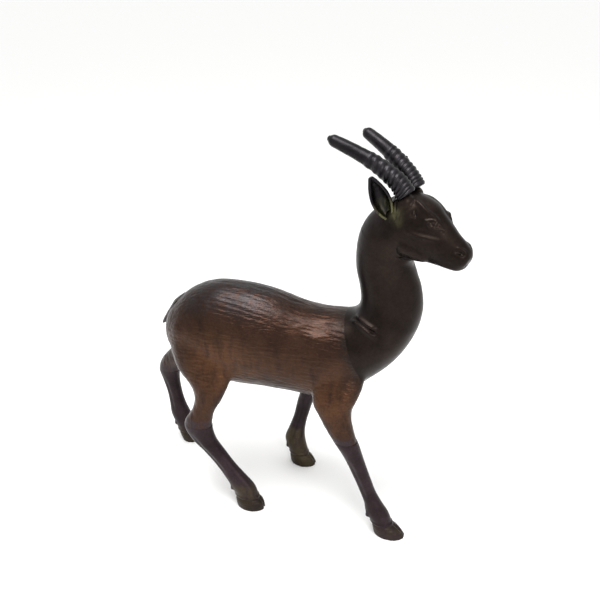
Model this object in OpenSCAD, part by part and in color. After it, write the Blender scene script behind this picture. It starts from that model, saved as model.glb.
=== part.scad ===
// Bronze statuette of a walking antelope, cast in sections and joined.
// The statue faces +X, its left side is +Y, and its four hooves stand on z = 0.

/* [Walls] */
// thickness of the hollow torso casting
torso_wall = 4; // [2.5:0.5:6]
// thickness of the hollow neck casting
neck_wall = 4; // [2.5:0.5:6]

/* [Joints] */
// height at which the fore shanks meet the upper legs
knee_cut = 82; // [78:1:88]
// height at which the hind shanks meet the upper legs
hock_cut = 74; // [70:1:80]
// diameter of the dowels inside knees and hocks
dowel_d = 4; // [3:0.5:5]
// length of the dowels inside knees and hocks
dowel_len = 16; // [10:1:20]
// depth of the bands inside the neck and head joints
band_len = 12; // [8:1:14]
// thickness of the bands inside the neck and head joints
band_wall = 2; // [1.5:0.5:3]
// how much narrower a joint band is at its ends
band_taper = 1.4; // [1:0.2:2.4]
// play between a joint band or peg and the casting round it
joint_play = 0.2; // [0.1:0.1:0.4]

/* [Horns] */
// diameter of a horn where it meets its pedicle
horn_base_d = 13.5; // [11:0.5:16]
// diameter of a horn just before its blunt tip
horn_tip_d = 7.5; // [5:0.5:9]
// number of raised rings on a horn
horn_rings = 10; // [6:1:12]
// height of a ring above the horn
horn_ring_h = 0.7; // [0.3:0.1:1.2]
// part of the horn's length that carries rings
horn_ringed = 0.68; // [0.5:0.01:0.8]
// diameter of the peg that holds a horn in the head
horn_peg_d = 5; // [4:0.5:6]
// length of the peg that holds a horn in the head
horn_peg_len = 7; // [5:1:9]

/* [Ears and tail] */
// length of an ear from its root to its tip
ear_len = 29; // [25:1:34]
// widest measure across an ear
ear_w = 14; // [10:1:18]
// thickness of the ear leaf
ear_leaf = 1.8; // [1.2:0.1:3]
// thickness of the tail flap
tail_thick = 5; // [3:0.5:7]

/* [Hooves] */
// height at which a hoof meets its shank
hoof_cut = 11; // [9:1:13]
// diameter of the peg on top of a hoof
hoof_peg_d = 4; // [3:0.5:5]
// length of the peg on top of a hoof
hoof_peg_len = 7; // [5:1:9]
// width of the cleft between the two toes
cleft_w = 1.6; // [1:0.2:2.4]

/* [Hidden] */

body_colour = "#4a352c";
smooth_colour = "#3a2c28";
shank_colour = "#3d3036";
horn_colour = "#37343a";
ear_colour = "#4a4638";
hoof_colour = "#3c362c";
pin_colour = "#b08d57";

// A station is [x, y, z, half width, half depth, lean, yaw]: the centre of a cross-section, its two
// half sizes, the upward lean of its normal from +X and the turn of its normal towards -Y.

// the joint of torso and neck, shared by both castings
neck_joint = [50, 0, 147, 27, 27, 22, 0];

// the joint of neck and head, shared by both castings
head_joint = [66.5, 0, 225.5, 16.5, 21.8, 57, 0];

// torso, from the rump forward
torso_path = [
    [-99, 0, 135, 5, 6, 14, 0],
    [-96.5, 0, 135, 13, 14.5, 12, 0],
    [-89.5, 0, 136.5, 21, 23.5, 9, 0],
    [-76.5, 0, 139, 27, 34.2, 5, 0],
    [-59, 0, 141.5, 30.5, 40, 2, 0],
    [-38, 0, 141.5, 31, 41, 0, 0],
    [-15, 0, 140.5, 31, 39, 0, 0],
    [5, 0, 137.5, 31, 36, 0, 0],
    [24, 0, 136, 31, 35, 4, 0],
    [38, 0, 139.5, 30, 32.5, 12, 0],
    neck_joint
];

// neck, from the breast up to the throat
neck_path = [
    neck_joint,
    [62, 0, 157.5, 24, 23.5, 44, 0],
    [69.5, 0, 171.5, 20.5, 22, 68, 0],
    [71.5, 0, 184, 18, 21.5, 85, 0],
    [69.5, 0, 197, 16.5, 21, 92, 0],
    [66.5, 0, 210, 16, 21.5, 80, 0],
    head_joint
];

// head, from the throat round the skull to the nose
head_path = [
    head_joint,
    [72, -1.5, 235.5, 16.5, 22, 34, 6],
    [81, -4, 242, 16.5, 23, 8, 14],
    [90, -8, 241.5, 15, 21.2, -12, 20],
    [99, -12.5, 238, 12.5, 16.6, -20, 22],
    [107, -17.5, 234.7, 10.3, 12.4, -21, 22],
    [113.5, -20.5, 232.2, 8.8, 10.2, -22, 22],
    [117.5, -22.3, 230.8, 7.4, 8.2, -22, 22],
    [120, -23.4, 229.9, 4, 4.6, -22, 22]
];

// upper legs, from inside the body down to the knee or hock
upper_right_fore = [
    [36, -15, 142, 11, 18, -90, 0],
    [38.5, -20, 128, 11, 20.5, -90, 0],
    [39.5, -26, 116, 9.8, 16.5, -90, 0],
    [38.5, -28, 108, 9.2, 14.3, -90, 0],
    [40.5, -29.5, 101, 8.6, 12.3, -90, 0],
    [43.5, -30.5, 93, 8, 10.8, -90, 0],
    [48.5, -31, knee_cut, 7.3, 9, -90, 0]
];
upper_left_fore = [
    [36, 15, 142, 11, 18, -90, 0],
    [33, 20, 127, 11, 17, -94, 0],
    [27, 25, 114, 9.5, 13.5, -104, 0],
    [19, 28, 102, 8.3, 11, -106, 0],
    [12.5, 29.5, 92, 7.6, 9.2, -102, 0],
    [8.5, 30, knee_cut, 7.2, 8.4, -90, 0]
];
upper_right_hind = [
    [-68, -13, 150, 13, 24, -90, 0],
    [-66, -18, 132, 13.5, 25, -90, 0],
    [-62.5, -23, 119, 11.5, 22.5, -90, 0],
    [-57.5, -28, 107, 9, 14.5, -90, 0],
    [-58, -30.5, 97, 7.6, 10.6, -90, 0],
    [-62, -32.5, 87, 6.6, 8.8, -90, 0],
    [-66.5, -33, hock_cut, 7.3, 11.2, -90, 0]
];
upper_left_hind = [
    [-72, 13, 150, 13, 24, -94, 0],
    [-79, 18, 131, 13, 23, -104, 0],
    [-89, 22, 115, 10.5, 17, -116, 0],
    [-100, 25, 101, 8.5, 12, -126, 0],
    [-110, 28.5, 91, 7.2, 9.3, -124, 0],
    [-117.5, 30.5, 82.5, 6.9, 9, -105, 0],
    [-121, 31.5, hock_cut, 7.1, 9.3, -90, 0]
];

// shanks, from knee or hock down to the hoof
lower_right_fore = [
    [48.5, -31, knee_cut, 7.3, 9, -90, 0],
    [55, -31, 69, 6, 7.4, -90, 0],
    [61.5, -31, 53, 4.9, 6.5, -90, 0],
    [67.5, -31, 38, 4.7, 6.1, -90, 0],
    [72, -31, 28, 5.4, 7, -90, 0],
    [75.5, -31, 19.5, 6.6, 8.8, -90, 0],
    [79.5, -31, hoof_cut, 6.4, 8.4, -90, 0]
];
lower_left_fore = [
    [8.5, 30, knee_cut, 7.2, 8.4, -90, 0],
    [2.5, 30, 68, 5.8, 6.8, -90, 0],
    [-2, 30, 50, 4.8, 6, -90, 0],
    [-5.5, 30, 36, 5.2, 7, -90, 0],
    [-7, 30, 24, 6.6, 8.8, -90, 0],
    [-3.5, 30, hoof_cut, 6.4, 8.4, -90, 0]
];
lower_right_hind = [
    [-66.5, -33, hock_cut, 7.3, 11.2, -90, 0],
    [-63, -32.5, 61, 6.8, 10.2, -90, 0],
    [-53.5, -32, 48, 5.7, 8.7, -90, 0],
    [-44.5, -32, 36, 5.4, 8.4, -90, 0],
    [-37.5, -32, 27, 6, 9.4, -90, 0],
    [-32.5, -32, 19.5, 6.8, 10.2, -90, 0],
    [-29, -32, hoof_cut, 6.6, 9.8, -90, 0]
];
lower_left_hind = [
    [-121, 31.5, hock_cut, 7.1, 9.3, -90, 0],
    [-120.5, 32, 63, 6, 7.6, -90, 0],
    [-118.5, 32, 50, 5.2, 6.8, -90, 0],
    [-116.5, 32, 38, 5.6, 7.5, -90, 0],
    [-114, 32, 27, 6.6, 9.2, -90, 0],
    [-111.5, 32, 18, 6.5, 8.4, -90, 0],
    [-110, 32, hoof_cut, 6.3, 8, -90, 0]
];

// hooves, from the shank down to the sole on the ground
horn_of_right_fore = [
    [79.5, -31, hoof_cut, 6.4, 8.4, -90, 0],
    [83, -31, 6, 7.4, 10.4, -90, 0],
    [86, -31, 0, 8, 12, -90, 0]
];
horn_of_left_fore = [
    [-3.5, 30, hoof_cut, 6.4, 8.4, -90, 0],
    [-1.5, 30, 6, 7.2, 10, -90, 0],
    [0.5, 30, 0, 7.8, 11, -90, 0]
];
horn_of_right_hind = [
    [-29, -32, hoof_cut, 6.6, 9.8, -90, 0],
    [-27, -32, 6, 7.6, 11.5, -90, 0],
    [-26, -32, 0, 7.6, 11.4, -90, 0]
];
horn_of_left_hind = [
    [-110, 32, hoof_cut, 6.3, 8, -90, 0],
    [-108, 32, 6, 6.8, 8.2, -90, 0],
    [-106.5, 32, 0, 6.4, 7.6, -90, 0]
];

// horns: centre points from the base to the tip
horn_right_path = [[77, -10.5, 265], [70, -9, 273.5], [51, -4, 284.2], [23.5, 3.5, 293.5]];
horn_left_path = [[81, 4, 265], [75, 7, 273.5], [61.5, 13.5, 285], [42.5, 25, 294.5]];

// ears: root, then the directions along the ear and out of its cupped side
ear_right_root = [67, -15, 252.5];
ear_right_along = [-0.36, -0.28, 0.9];
ear_right_out = [0.35, -0.93, -0.16];
ear_left_root = [73.5, 11, 257];
ear_left_along = [-0.1, 0.72, 0.69];
ear_left_out = [0.85, 0.42, -0.3];

// tail: a flap that runs down the rump
tail_path = [
    [-84, 0, 167, 3.5, tail_thick * 0.4, -140, 0],
    [-91, 0, 160, 5.5, tail_thick * 0.52, -130, 0],
    [-97, 0, 151, 5, tail_thick * 0.5, -120, 0],
    [-102.5, 0, 143.5, 2.8, tail_thick * 0.34, -118, 0],
    [-105.5, 0, 139.5, 1, tail_thick * 0.18, -118, 0]
];

// the middle of the statue over the ground, which is put on the origin
middle = [-4, -0.75, 0];

// the middle of the skull: its last two values give the way the face points
head_middle = [78, -3, 243, 0, 0, -20, 22];

// how flat a muscle lies on the body
muscle_flat = 0.45;
muscle_sides = 20;

// steps between two stations and points round a ring, for the body and for the legs
path_steps = 4;
ring_sides = 28;
leg_steps = 3;
leg_sides = 18;
pin_sides = 24;

// the torso is hollow from this station forward, and the head up to that one
torso_hollow_from = 2;
head_hollow_to = 3;

// how far a peg reaches into the horn or hoof that it belongs to
horn_peg_lap = 3;
hoof_peg_lap = 2;
horn_steps = 14;
horn_sides = 16;
horn_peg_sides = 20;
// how late a horn thins out, and the part of its width that its blunt tip keeps
horn_taper = 1.2;
horn_blunt = 0.45;

// an ear: rows along it, points across each skin, the parts of a sine wave that shape its sides,
// the angle that its outer skin wraps, and the angles that its cup opens to
ear_rows = 12;
ear_sides = 9;
ear_wave_start = 0.12;
ear_wave_end = 0.95;
ear_wave_power = 0.8;
ear_wrap = 200;
ear_cup_root = 20;
ear_cup_open = 90;
ear_cup_least = 0.3;

// how far below the coronet the hoof's cleft ends, and how far ahead of the sole's centre it starts
cleft_roof = 2;
cleft_ahead = 2;

// size of the blocks that trim a casting, and how far a cut runs past a face
cut_size = 60;
cut_past = 1;

// item i of a list, or the nearest one that exists
function item(list, i) = list[max(0, min(len(list) - 1, i))];

// the value at t on the smooth curve between b and c
function curve(a, b, c, d, t) =
    0.5 * (2 * b + (c - a) * t + (2 * a - 5 * b + 4 * c - d) * t * t + (3 * b - a - 3 * c + d) * t * t * t);

// a list of stations or points made finer along a smooth curve through all of them
function fine(list, steps) = [
    for (i = [0 : len(list) - 2])
        for (s = [0 : steps - 1])
            curve(item(list, i - 1), list[i], list[i + 1], item(list, i + 2), s / steps),
    list[len(list) - 1]
];

// the two directions in the plane of a station: across and deep
function across_dir(s) = [sin(s[6]), cos(s[6]), 0];
function deep_dir(s) = [-sin(s[5]) * cos(s[6]), sin(s[5]) * sin(s[6]), cos(s[5])];
function centre(s) = [s[0], s[1], s[2]];

// the outline of a station, drawn in by a wall
function ring(s, sides, wall = 0) = [
    for (k = [0 : sides - 1])
        let (a = 360 * k / sides)
        centre(s) + across_dir(s) * (s[3] - wall) * cos(a) + deep_dir(s) * (s[4] - wall) * sin(a)
];
function rings(path, sides, wall = 0) = [for (s = path) ring(s, sides, wall)];

// a station moved along its own normal
function along(s, d) =
    [for (k = [0 : 6]) s[k] + (k == 0 ? d * cos(s[5]) * cos(s[6]) : 0)
        + (k == 1 ? -d * cos(s[5]) * sin(s[6]) : 0) + (k == 2 ? d * sin(s[5]) : 0)];

function unit(v) = v / norm(v);

// the two triangles between point k of ring i and the next point of the next ring
function wall_faces(i, k, sides, first = 0) =
    let (a = first + i * sides + k, b = first + i * sides + (k + 1) % sides)
    [[a, a + sides, b], [b, a + sides, b + sides]];

// the piece in its colour, with the middle of the statue over the origin
module cast(paint) {
    color(paint)
        translate(-middle)
            children();
}

// a solid skin over a list of rings with flat ends
module loft(list) {
    sides = len(list[0]);
    last = (len(list) - 1) * sides;
    polyhedron(
        points = [for (r = list) each r],
        faces = concat(
            [[for (k = [0 : sides - 1]) k]],
            [for (i = [0 : len(list) - 2]) for (k = [0 : sides - 1]) each wall_faces(i, k, sides)],
            [[for (k = [sides - 1 : -1 : 0]) last + k]]
        ),
        convexity = 8
    );
}

// a tube between an outer and an inner list of rings, open at both ends
module sleeve(outer, inner) {
    sides = len(outer[0]);
    rows = len(outer);
    second = rows * sides;
    last = (rows - 1) * sides;
    polyhedron(
        points = concat([for (r = outer) each r], [for (r = inner) each r]),
        faces = concat(
            [for (i = [0 : rows - 2]) for (k = [0 : sides - 1]) each wall_faces(i, k, sides)],
            [for (i = [0 : rows - 2]) for (k = [0 : sides - 1])
                for (f = wall_faces(i, k, sides, second)) [f[2], f[1], f[0]]],
            [for (k = [0 : sides - 1]) let (n = (k + 1) % sides)
                each [[k, n, second + k], [n, second + n, second + k]]],
            [for (k = [0 : sides - 1]) let (n = (k + 1) % sides)
                each [[last + k, second + last + k, last + n],
                      [last + n, second + last + k, second + last + n]]]
        ),
        convexity = 8
    );
}

module limb(path) {
    loft(rings(fine(path, leg_steps), leg_sides));
}

// a muscle: two flattened balls and the skin stretched between them
module muscle(from, from_r, to, to_r, flat = 1) {
    hull() {
        translate(from) scale([1, flat, 1]) sphere(r = from_r, $fn = muscle_sides);
        translate(to) scale([1, flat, 1]) sphere(r = to_r, $fn = muscle_sides);
    }
}

// a straight round pin from a point along a direction
module pin(from, dir, d, len) {
    turn = unit(dir);
    translate(from)
        rotate([0, acos(turn[2]), atan2(turn[1], turn[0])])
            cylinder(d = d, h = len, $fn = horn_peg_sides);
}

module upright_pin(s, d, len) {
    translate([s[0], s[1], s[2] - len / 2])
        cylinder(d = d, h = len, $fn = pin_sides);
}

// ---- torso ----
module torso_muscles() {
    for (side = [-1, 1]) {
        // shoulder blade
        muscle([22, 20.5 * side, 148], 15, [40, 22 * side, 130], 14, muscle_flat);
        // flank in front of the thigh
        muscle([-46, 22 * side, 128], 15, [-62, 21 * side, 143], 20, muscle_flat);
        // point of the haunch
        muscle([-72, 19 * side, 143], 18, [-68, 20.5 * side, 126], 17, muscle_flat);
        // ribs behind the elbow
        muscle([14, 22 * side, 134], 18, [-8, 22 * side, 138], 20, muscle_flat);
    }
}

module torso_cavity() {
    path = fine(torso_path, path_steps);
    inside = [for (i = [path_steps * torso_hollow_from : len(path) - 1]) path[i]];
    loft(rings(concat(inside, [along(neck_joint, cut_past)]), ring_sides, torso_wall));
}

module torso() {
    cast(body_colour)
        difference() {
            union() {
                loft(rings(fine(torso_path, path_steps), ring_sides));
                torso_muscles();
                limb(upper_right_fore);
                limb(upper_left_fore);
                limb(upper_right_hind);
                limb(upper_left_hind);
            }
            torso_cavity();
            loft(rings([along(neck_joint, 0), along(neck_joint, cut_size)], ring_sides, -cut_size / 2));
            tail_flap(joint_play);
            for (s = leg_joints()) upright_pin(s, dowel_d + 2 * joint_play, dowel_len);
        }
}

function leg_joints() = [
    lower_right_fore[0], lower_left_fore[0], lower_right_hind[0], lower_left_hind[0]
];

// ---- neck ----
module neck() {
    path = fine(neck_path, path_steps);
    cast(smooth_colour)
        sleeve(rings(path, ring_sides), rings(path, ring_sides, neck_wall));
}

// ---- head ----
module head_relief() {
    for (side = [-1, 1]) {
        // brow ridge over the eye
        muscle(on_head([12, 9 * side, 15.5]), 3, on_head([21, 9.5 * side, 11]), 3);
        // cheek
        muscle(on_head([9, 9.5 * side, -7]), 7.4, on_head([21, 7.3 * side, -5.5]), 6.3);
        // nostril wing
        muscle(on_head([37, 4.7 * side, 1.5]), 4.3, on_head([40.5, 4.2 * side, -1]), 3.6);
    }
    // pedicles under the horns
    muscle(horn_right_path[0] - [2, -1, 7], 7, horn_right_path[0] - [0, 0, 4], 5.5);
    muscle(horn_left_path[0] - [2, 1, 7], 7, horn_left_path[0] - [0, 0, 4], 5.5);
}

// a point given along the face, across it and above its axis
function on_head(p) =
    centre(along(head_middle, p[0])) + across_dir(head_middle) * p[1] + deep_dir(head_middle) * p[2];

module head() {
    path = fine(head_path, path_steps);
    core = [for (i = [0 : path_steps * head_hollow_to]) path[i]];
    under = [along(head_joint, -cut_size / 4), along(head_joint, 0)];
    cast(smooth_colour)
        difference() {
            union() {
                loft(rings(path, ring_sides));
                head_relief();
            }
            // the core of the casting, open towards the neck
            loft(rings(concat([along(head_joint, -cut_past)], core), ring_sides, neck_wall));
            loft(rings(under, ring_sides, -cut_size / 8));
            horn_shaft(horn_right_path, joint_play);
            horn_shaft(horn_left_path, joint_play);
            ear_leaf_body(ear_right_root, ear_right_along, ear_right_out, joint_play);
            ear_leaf_body(ear_left_root, ear_left_along, ear_left_out, joint_play);
        }
}

// ---- horns ----
function horn_radius(t) =
    (horn_base_d + (horn_tip_d - horn_base_d) * pow(t, horn_taper)) / 2;

// a ring every so often, smooth beyond the ringed part
function horn_relief(t) =
    t > horn_ringed ? 0 : horn_ring_h * pow(sin(180 * t / horn_ringed * horn_rings), 2);

function horn_rings_of(path, grow) =
    let (p = fine(path, horn_steps), n = len(p) - 1, sides = horn_sides)
    [for (i = [0 : n])
        let (t = i / n,
             dir = unit(item(p, i + 1) - item(p, i - 1)),
             side = unit(cross([0, 0, 1], dir)),
             up = cross(dir, side),
             r = (i == n ? horn_blunt : 1) * horn_radius(t) + horn_relief(t) + grow)
        [for (k = [0 : sides - 1]) p[i] + (side * cos(360 * k / sides) + up * sin(360 * k / sides)) * r]];

// the direction of a horn at its base
function horn_axis(path) = let (p = fine(path, horn_steps)) unit(p[1] - p[0]);

module horn_shaft(path, grow) {
    loft(horn_rings_of(path, grow));
    pin(path[0] - horn_axis(path) * (horn_peg_len + grow), horn_axis(path),
        horn_peg_d + 2 * grow, horn_peg_len + grow + horn_peg_lap);
}

module horn_right() {
    cast(horn_colour) horn_shaft(horn_right_path, 0);
}

module horn_left() {
    cast(horn_colour) horn_shaft(horn_left_path, 0);
}

// ---- ears ----
// the crescent cross-section at height t of the ear
function ear_ring(root, dir, out, t, grow) =
    let (d = unit(dir),
         w = unit(cross(out, d)),
         o = cross(d, w),
         wave = ear_wave_start + (ear_wave_end - ear_wave_start) * t,
         r = ear_w / 2 * sin(180 * pow(wave, ear_wave_power)),
         leaf = ear_leaf + 2 * grow,
         cup = ear_cup_root + (ear_cup_open - ear_cup_root) * min(1, t * 3),
         mid = root + d * ear_len * t - o * r * 0.2)
    concat(
        [for (k = [0 : ear_sides - 1]) let (a = 270 + ear_wrap * (k / (ear_sides - 1) - 0.5))
            mid + (w * cos(a) + o * sin(a)) * (r + grow)],
        [for (k = [ear_sides - 1 : -1 : 0]) let (a = 270 + 2 * cup * (k / (ear_sides - 1) - 0.5))
            mid + (w * cos(a) + o * sin(a)) * max(ear_cup_least, r + grow - leaf)]
    );

module ear_leaf_body(root, dir, out, grow) {
    loft([for (i = [0 : ear_rows]) ear_ring(root, dir, out, i / ear_rows, grow)]);
}

module ear_right() {
    cast(ear_colour) ear_leaf_body(ear_right_root, ear_right_along, ear_right_out, 0);
}

module ear_left() {
    cast(ear_colour) ear_leaf_body(ear_left_root, ear_left_along, ear_left_out, 0);
}

// ---- tail ----
module tail_flap(grow) {
    loft(rings(fine(tail_path, leg_steps), leg_sides, -grow));
}

module tail() {
    cast(body_colour) tail_flap(0);
}

// ---- shanks ----
module shank(path) {
    cast(shank_colour)
        difference() {
            limb(path);
            upright_pin(path[0], dowel_d + 2 * joint_play, dowel_len);
            upright_pin(path[len(path) - 1], hoof_peg_d + 2 * joint_play,
                2 * (hoof_peg_len + joint_play));
        }
}

module shank_right_fore() {
    shank(lower_right_fore);
}

module shank_left_fore() {
    shank(lower_left_fore);
}

module shank_right_hind() {
    shank(lower_right_hind);
}

module shank_left_hind() {
    shank(lower_left_hind);
}

// ---- hooves ----
module hoof(path) {
    sole = path[len(path) - 1];
    cast(hoof_colour)
        union() {
            difference() {
                limb(path);
                // cleft between the toes
                translate([sole[0] + cleft_ahead, sole[1] - cleft_w / 2, -cut_past])
                    cube([cut_size, cleft_w, cut_past + hoof_cut - cleft_roof]);
            }
            translate([path[0][0], path[0][1], hoof_cut - hoof_peg_lap])
                cylinder(d = hoof_peg_d, h = hoof_peg_len + hoof_peg_lap, $fn = pin_sides);
        }
}

module hoof_right_fore() {
    hoof(horn_of_right_fore);
}

module hoof_left_fore() {
    hoof(horn_of_left_fore);
}

module hoof_right_hind() {
    hoof(horn_of_right_hind);
}

module hoof_left_hind() {
    hoof(horn_of_left_hind);
}

// ---- hidden joint pieces ----
module leg_dowels() {
    cast(pin_colour)
        for (s = leg_joints()) upright_pin(s, dowel_d, dowel_len);
}

// a barrel-shaped band that touches both castings where they meet
module band(s, wall) {
    path = [along(s, -band_len / 2), s, along(s, band_len / 2)];
    inset = [wall + band_taper, wall, wall + band_taper];
    cast(pin_colour)
        sleeve(
            [for (i = [0 : 2]) ring(path[i], ring_sides, inset[i])],
            [for (i = [0 : 2]) ring(path[i], ring_sides, inset[i] + band_wall)]
        );
}

module neck_band() {
    band(neck_joint, torso_wall);
}

module head_band() {
    band(head_joint, neck_wall);
}

torso();
neck();
head();
horn_right();
horn_left();
ear_right();
ear_left();
tail();
shank_right_fore();
shank_left_fore();
shank_right_hind();
shank_left_hind();
hoof_right_fore();
hoof_left_fore();
hoof_right_hind();
hoof_left_hind();
leg_dowels();
neck_band();
head_band();
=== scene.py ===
"""Bronze statuette of a walking antelope: its castings, their patinas and a plain studio."""

import math

import bmesh
import bpy
import numpy as np
from bpy.props import FloatProperty, FloatVectorProperty, IntProperty, PointerProperty
from mathutils import Matrix, Vector, noise


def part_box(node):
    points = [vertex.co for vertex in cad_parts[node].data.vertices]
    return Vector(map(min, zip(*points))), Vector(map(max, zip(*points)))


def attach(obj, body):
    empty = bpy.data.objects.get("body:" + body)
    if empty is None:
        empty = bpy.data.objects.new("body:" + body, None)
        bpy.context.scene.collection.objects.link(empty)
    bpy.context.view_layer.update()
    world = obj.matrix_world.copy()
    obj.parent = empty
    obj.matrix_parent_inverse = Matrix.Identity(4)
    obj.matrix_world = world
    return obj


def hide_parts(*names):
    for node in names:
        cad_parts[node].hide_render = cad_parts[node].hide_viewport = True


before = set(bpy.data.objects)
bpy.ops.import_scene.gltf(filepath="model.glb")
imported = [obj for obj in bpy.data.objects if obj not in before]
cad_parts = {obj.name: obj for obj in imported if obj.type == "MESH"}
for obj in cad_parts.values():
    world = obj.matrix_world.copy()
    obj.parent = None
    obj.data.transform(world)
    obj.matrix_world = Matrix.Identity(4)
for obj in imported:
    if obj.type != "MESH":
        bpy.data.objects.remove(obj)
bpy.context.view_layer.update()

bl_info = {
    "name": "Antelope statuette",
    "version": (1, 0, 0),
    "blender": (4, 5, 0),
    "location": "View3D > Sidebar > Statuette",
    "description": "Builds a bronze antelope from its castings, with its patinas and a studio",
    "category": "Object",
}

MM = 0.001
# the middle of the statuette over the ground, in the millimetres of the station lists
MIDDLE = np.array((-4.0, -0.75, 0.0))
SIDES = (-1, 1)

# heights of the joints in the legs, read from the castings of the frame
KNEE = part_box("shank_right_fore")[1][2] / MM
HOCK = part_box("shank_right_hind")[1][2] / MM
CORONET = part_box("shank_right_fore")[0][2] / MM

# A station is the centre of a cross-section in mm, its half width, its half depth, the upward lean
# of its normal from +X in degrees, and the turn of its normal towards -Y in degrees.
NECK_JOINT = (50, 0, 147, 27, 27, 22, 0)
HEAD_JOINT = (66.5, 0, 225.5, 16.5, 21.8, 57, 0)
TORSO_PATH = (
    (-99, 0, 135, 5, 6, 14, 0),
    (-96.5, 0, 135, 13, 14.5, 12, 0),
    (-89.5, 0, 136.5, 21, 23.5, 9, 0),
    (-76.5, 0, 139, 27, 34.2, 5, 0),
    (-59, 0, 141.5, 30.5, 40, 2, 0),
    (-38, 0, 141.5, 31, 41, 0, 0),
    (-15, 0, 140.5, 31, 39, 0, 0),
    (5, 0, 137.5, 31, 36, 0, 0),
    (24, 0, 136, 31, 35, 4, 0),
    (38, 0, 139.5, 30, 32.5, 12, 0),
    NECK_JOINT,
)
NECK_PATH = (
    NECK_JOINT,
    (62, 0, 157.5, 24, 23.5, 44, 0),
    (69.5, 0, 171.5, 20.5, 22, 68, 0),
    (71.5, 0, 184, 18, 21.5, 85, 0),
    (69.5, 0, 197, 16.5, 21, 92, 0),
    (66.5, 0, 210, 16, 21.5, 80, 0),
    HEAD_JOINT,
)
HEAD_PATH = (
    HEAD_JOINT,
    (72, -1.5, 235.5, 16.5, 22, 34, 6),
    (81, -4, 242, 16.5, 23, 8, 14),
    (90, -8, 241.5, 15, 21.2, -12, 20),
    (99, -12.5, 238, 12.5, 16.6, -20, 22),
    (107, -17.5, 234.7, 10.3, 12.4, -21, 22),
    (113.5, -20.5, 232.2, 8.8, 10.2, -22, 22),
    (117.5, -22.3, 230.8, 7.4, 8.2, -22, 22),
    (120, -23.4, 229.9, 4, 4.6, -22, 22),
)
# the middle of the skull; its lean and turn give the way the face points
SKULL = (78, -3, 243, 0, 0, -20, 22)

# each leg from inside the body to the sole
LEG_PATHS = {
    "right_fore": (
        (36, -15, 142, 11, 18, -90, 0),
        (38.5, -20, 128, 11, 20.5, -90, 0),
        (39.5, -26, 116, 9.8, 16.5, -90, 0),
        (38.5, -28, 108, 9.2, 14.3, -90, 0),
        (40.5, -29.5, 101, 8.6, 12.3, -90, 0),
        (43.5, -30.5, 93, 8, 10.8, -90, 0),
        (48.5, -31, KNEE, 7.3, 9, -90, 0),
        (55, -31, 69, 6, 7.4, -90, 0),
        (61.5, -31, 53, 4.9, 6.5, -90, 0),
        (67.5, -31, 38, 4.7, 6.1, -90, 0),
        (72, -31, 28, 5.4, 7, -90, 0),
        (75.5, -31, 19.5, 6.6, 8.8, -90, 0),
        (79.5, -31, CORONET, 6.4, 8.4, -90, 0),
        (83, -31, 6, 7.4, 10.4, -90, 0),
        (86, -31, 0, 8, 12, -90, 0),
    ),
    "left_fore": (
        (36, 15, 142, 11, 18, -90, 0),
        (33, 20, 127, 11, 17, -94, 0),
        (27, 25, 114, 9.5, 13.5, -104, 0),
        (19, 28, 102, 8.3, 11, -106, 0),
        (12.5, 29.5, 92, 7.6, 9.2, -102, 0),
        (8.5, 30, KNEE, 7.2, 8.4, -90, 0),
        (2.5, 30, 68, 5.8, 6.8, -90, 0),
        (-2, 30, 50, 4.8, 6, -90, 0),
        (-5.5, 30, 36, 5.2, 7, -90, 0),
        (-7, 30, 24, 6.6, 8.8, -90, 0),
        (-3.5, 30, CORONET, 6.4, 8.4, -90, 0),
        (-1.5, 30, 6, 7.2, 10, -90, 0),
        (0.5, 30, 0, 7.8, 11, -90, 0),
    ),
    "right_hind": (
        (-68, -13, 150, 13, 24, -90, 0),
        (-66, -18, 132, 13.5, 25, -90, 0),
        (-62.5, -23, 119, 11.5, 22.5, -90, 0),
        (-57.5, -28, 107, 9, 14.5, -90, 0),
        (-58, -30.5, 97, 7.6, 10.6, -90, 0),
        (-62, -32.5, 87, 6.6, 8.8, -90, 0),
        (-66.5, -33, HOCK, 7.3, 11.2, -90, 0),
        (-63, -32.5, 61, 6.8, 10.2, -90, 0),
        (-53.5, -32, 48, 5.7, 8.7, -90, 0),
        (-44.5, -32, 36, 5.4, 8.4, -90, 0),
        (-37.5, -32, 27, 6, 9.4, -90, 0),
        (-32.5, -32, 19.5, 6.8, 10.2, -90, 0),
        (-29, -32, CORONET, 6.6, 9.8, -90, 0),
        (-27, -32, 6, 7.6, 11.5, -90, 0),
        (-26, -32, 0, 7.6, 11.4, -90, 0),
    ),
    "left_hind": (
        (-72, 13, 150, 13, 24, -94, 0),
        (-79, 18, 131, 13, 23, -104, 0),
        (-89, 22, 115, 10.5, 17, -116, 0),
        (-100, 25, 101, 8.5, 12, -126, 0),
        (-110, 28.5, 91, 7.2, 9.3, -124, 0),
        (-117.5, 30.5, 82.5, 6.9, 9, -105, 0),
        (-121, 31.5, HOCK, 7.1, 9.3, -90, 0),
        (-120.5, 32, 63, 6, 7.6, -90, 0),
        (-118.5, 32, 50, 5.2, 6.8, -90, 0),
        (-116.5, 32, 38, 5.6, 7.5, -90, 0),
        (-114, 32, 27, 6.6, 9.2, -90, 0),
        (-111.5, 32, 18, 6.5, 8.4, -90, 0),
        (-110, 32, CORONET, 6.3, 8, -90, 0),
        (-108, 32, 6, 6.8, 8.2, -90, 0),
        (-106.5, 32, 0, 6.4, 7.6, -90, 0),
    ),
}
# the legs are free of the body below this height
LEG_ROOT_HEIGHT = 96
DEWCLAW_HEIGHT = 19
# how far a casting is kept past a joint before it is trimmed, and the tolerance of the cut in metres
JOINT_SPARE = 2
CUT_TOLERANCE = 1e-7
# fore and hind legs lie on either side of this place along the body
MIDRIFF = -20

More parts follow.
